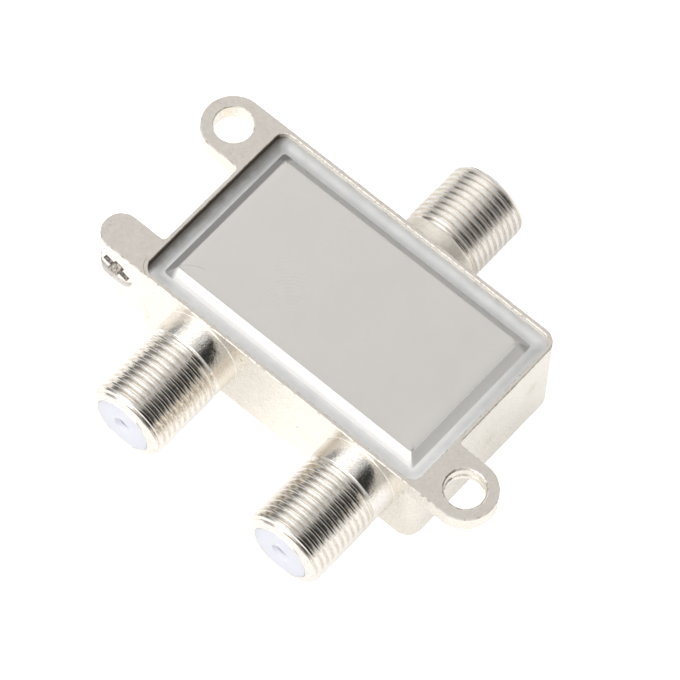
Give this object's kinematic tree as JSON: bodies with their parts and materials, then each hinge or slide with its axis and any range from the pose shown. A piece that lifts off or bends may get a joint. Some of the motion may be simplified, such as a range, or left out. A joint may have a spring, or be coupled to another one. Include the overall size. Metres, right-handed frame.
{
  "type": "coaxial splitter",
  "caption": "Coaxial splitter in a plated die-cast box: threaded input port, threaded output ports opposite, soldered back cover, ears with holes and a ground screw.",
  "frame": {"origin": "centre of the box body's front face, on which the splitter lies", "axes": "+X along the body's long side towards the ear beside the outputs, +Y out of the input port, +Z out of the back cover"},
  "size_m": [0.0526, 0.046, 0.013],
  "materials": {
    "plated_casting": "nickel plate over a zinc die casting, satin as cast, turned on the ports",
    "tinned_sheet": "stamped tinned steel, satin",
    "solder": "smooth tin solder",
    "insulator": "moulded white polyethylene",
    "contact_metal": "spring bronze",
    "screw_steel": "nickel-plated steel",
    "board_laminate": "paper laminate",
    "track_copper": "copper under clear lacquer",
    "ferrite": "sintered, matt",
    "enamelled_wire": "copper wire with red enamel",
    "resistor_body": "glazed chip",
    "capacitor_body": "sintered chip"
  },
  "bodies": {
    "casing": {"housing": "plated_casting", "cover_plate": "tinned_sheet", "cover_seam": "solder", "insulator_in": "insulator", "insulator_out_left": "insulator", "insulator_out_right": "insulator", "contact_in": "contact_metal", "contact_out_left": "contact_metal", "contact_out_right": "contact_metal", "circuit_board": "board_laminate", "board_tracks": "track_copper", "matching_core": "ferrite", "matching_winding": "enamelled_wire", "splitting_core": "ferrite", "splitting_winding": "enamelled_wire", "isolation_resistor": "resistor_body", "input_capacitor": "capacitor_body", "output_capacitor_left": "capacitor_body", "output_capacitor_right": "capacitor_body", "peaking_coil": "enamelled_wire", "contact_solder": "solder", "ground_solder": "solder"},
    "screw": {"ground_screw": "screw_steel"}
  },
  "joints": [
    {"name": "ground_screw_travel", "type": "slide", "parent": "casing", "child": "screw", "axis": [0, -1, 0], "range_m": [0, 0.0018]}
  ]
}
